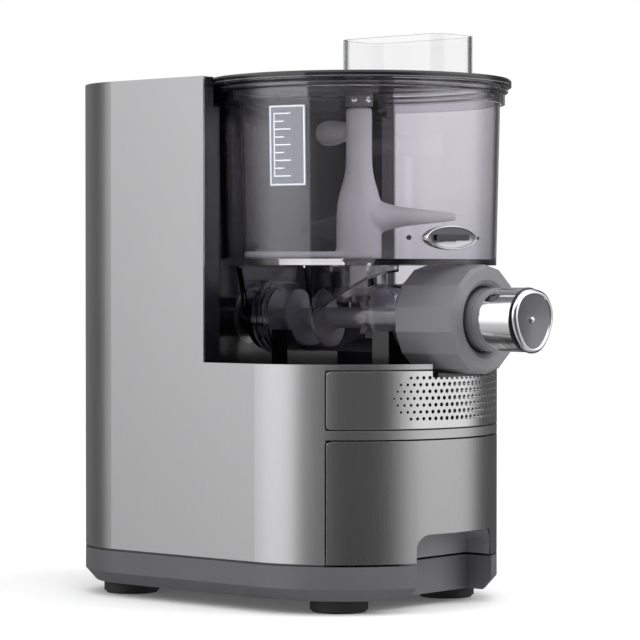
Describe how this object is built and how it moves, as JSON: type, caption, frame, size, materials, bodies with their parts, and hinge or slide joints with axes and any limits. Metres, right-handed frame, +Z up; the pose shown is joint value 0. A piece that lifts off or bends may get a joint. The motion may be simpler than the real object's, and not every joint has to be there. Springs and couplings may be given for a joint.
{
  "type": "electric pasta maker",
  "caption": "Counter-top electric pasta maker: smoked mixing tank on a D-shaped body, upright paddle, horizontal screw barrel, faceted nut and polished die head, drawer below.",
  "frame": {"origin": "on the table, below the middle of the whole outline", "axes": "+Z up, noodles leave towards -Y, +X on the right seen from the front"},
  "size_m": [0.2034, 0.3412, 0.3732],
  "materials": {
    "base_tray": "fine satin",
    "feet": "matte",
    "side_skin": "brushed, dark satin",
    "grille_panel": "brushed",
    "drawer_rails": "matte",
    "inner_frame": "gloss",
    "barrel_saddles": "gloss",
    "tower_face": "gloss",
    "top_cover": "polished",
    "display_window": "polished",
    "control_board": "board lacquer",
    "board_posts": "matte",
    "inlet_socket": "matte",
    "inlet_pins": "plain",
    "rocker_frame": "matte",
    "main_board": "board lacquer",
    "board_parts": "matte",
    "gearbox_case": "cast",
    "gearbox_cover": "cast",
    "case_screws": "polished",
    "drive_posts": "satin",
    "motor": "satin",
    "drawer_front": "brushed, dark satin",
    "drawer_box": "matte",
    "button_power": "satin",
    "button_mode": "satin",
    "button_less": "satin",
    "button_more": "satin",
    "rocker": "matte",
    "output_shaft": "polished",
    "output_gear": "plain",
    "layshaft": "polished",
    "lay_wheel": "plain",
    "rotor": "polished",
    "fan": "matte",
    "tank": "clear, smoked",
    "level_scale": "frosted",
    "latch_bezel": "polished",
    "latch_dish": "satin",
    "latch_marks": "satin",
    "latch_bar": "satin",
    "screw": "satin",
    "screw_pinion": "plain",
    "paddle": "satin",
    "paddle_crown": "plain",
    "lid": "polished",
    "lid_seal": "silicone",
    "lid_hub": "satin",
    "cup": "clear",
    "die_head": "polished",
    "die_ring": "matte",
    "cap_rim": "polished",
    "cap_face": "satin",
    "cap_stud": "polished",
    "nut": "satin"
  },
  "bodies": {
    "machine": {"base_tray": "base_tray", "feet": "feet", "side_skin": "side_skin", "grille_panel": "grille_panel", "drawer_rails": "drawer_rails", "inner_frame": "inner_frame", "barrel_saddles": "barrel_saddles", "tower_face": "tower_face", "top_cover": "top_cover", "display_window": "display_window", "control_board": "control_board", "board_posts": "board_posts", "inlet_socket": "inlet_socket", "inlet_pins": "inlet_pins", "rocker_frame": "rocker_frame", "main_board": "main_board", "board_parts": "board_parts", "gearbox_case": "gearbox_case", "gearbox_cover": "gearbox_cover", "case_screws": "case_screws", "drive_posts": "drive_posts", "motor": "motor"},
    "drawer": {"drawer_front": "drawer_front", "drawer_box": "drawer_box"},
    "button_power": {"button_power": "button_power"},
    "button_mode": {"button_mode": "button_mode"},
    "button_less": {"button_less": "button_less"},
    "button_more": {"button_more": "button_more"},
    "rocker": {"rocker": "rocker"},
    "output": {"output_shaft": "output_shaft", "output_gear": "output_gear"},
    "layshaft": {"layshaft": "layshaft", "lay_wheel": "lay_wheel"},
    "rotor": {"rotor": "rotor", "fan": "fan"},
    "tank": {"tank": "tank", "level_scale": "level_scale", "latch_bezel": "latch_bezel", "latch_dish": "latch_dish", "latch_marks": "latch_marks"},
    "latch": {"latch_bar": "latch_bar"},
    "screw": {"screw": "screw", "screw_pinion": "screw_pinion"},
    "paddle": {"paddle": "paddle", "paddle_crown": "paddle_crown"},
    "lid": {"lid": "lid", "lid_seal": "lid_seal", "lid_hub": "lid_hub"},
    "cup": {"cup": "cup"},
    "die_set": {"die_head": "die_head", "die_ring": "die_ring", "cap_rim": "cap_rim", "cap_face": "cap_face", "cap_stud": "cap_stud"},
    "nut": {"nut": "nut"}
  },
  "joints": [
    {"name": "drawer_slide", "type": "slide", "parent": "machine", "child": "drawer", "axis": [0, -1, 0], "range_m": [0, 0.11]},
    {"name": "output_spin", "type": "hinge", "parent": "machine", "child": "output", "pos_m": [0, 0.0991, 0.189], "axis": [0, 1, 0], "continuous": true},
    {"name": "layshaft_spin", "type": "hinge", "parent": "machine", "child": "layshaft", "pos_m": [0, 0.0991, 0.234], "axis": [0, 1, 0], "continuous": true},
    {"name": "rotor_spin", "type": "hinge", "parent": "machine", "child": "rotor", "pos_m": [0, 0.0991, 0.2665], "axis": [0, 1, 0], "continuous": true},
    {"name": "tank_slide", "type": "slide", "parent": "machine", "child": "tank", "axis": [0, -1, 0], "range_m": [0, 0.17]},
    {"name": "screw_spin", "type": "hinge", "parent": "tank", "child": "screw", "pos_m": [0, -0.0209, 0.189], "axis": [0, 1, 0], "continuous": true},
    {"name": "paddle_spin", "type": "hinge", "parent": "tank", "child": "paddle", "pos_m": [0, -0.0249, 0.26], "axis": [0, 0, 1], "continuous": true},
    {"name": "latch_slide", "type": "slide", "parent": "tank", "child": "latch", "axis": [0.9816, -0.1908, 0], "range_m": [0, 0.006]},
    {"name": "lid_lift", "type": "slide", "parent": "tank", "child": "lid", "axis": [0, 0, 1], "range_m": [0, 0.12]},
    {"name": "cup_lift", "type": "slide", "parent": "lid", "child": "cup", "axis": [0, 0, 1], "range_m": [0, 0.06]},
    {"name": "die_slide", "type": "slide", "parent": "tank", "child": "die_set", "axis": [0, -1, 0], "range_m": [0, 0.06]},
    {"name": "nut_turn", "type": "hinge", "parent": "die_set", "child": "nut", "pos_m": [0, -0.1109, 0.189], "axis": [0, 1, 0], "range_deg": [0, 120]},
    {"name": "rocker_tip", "type": "hinge", "parent": "machine", "child": "rocker", "pos_m": [0.022, 0.1651, 0.062], "axis": [1, 0, 0], "range_deg": [-8, 8]},
    {"name": "button_power_press", "type": "slide", "parent": "machine", "child": "button_power", "axis": [0, 0, -1], "range_m": [0, 0.0012], "stiffness_N_per_m": 300, "springref_m": -0.002},
    {"name": "button_mode_press", "type": "slide", "parent": "machine", "child": "button_mode", "axis": [0, 0, -1], "range_m": [0, 0.0012], "stiffness_N_per_m": 300, "springref_m": -0.002},
    {"name": "button_less_press", "type": "slide", "parent": "machine", "child": "button_less", "axis": [0, 0, -1], "range_m": [0, 0.0012], "stiffness_N_per_m": 300, "springref_m": -0.002},
    {"name": "button_more_press", "type": "slide", "parent": "machine", "child": "button_more", "axis": [0, 0, -1], "range_m": [0, 0.0012], "stiffness_N_per_m": 300, "springref_m": -0.002}
  ],
  "couplings": [
    {"joint": "layshaft_spin", "follows": "output_spin", "ratio": -4},
    {"joint": "rotor_spin", "follows": "output_spin", "ratio": 13.333},
    {"joint": "screw_spin", "follows": "output_spin", "ratio": 1},
    {"joint": "paddle_spin", "follows": "output_spin", "ratio": 1}
  ]
}
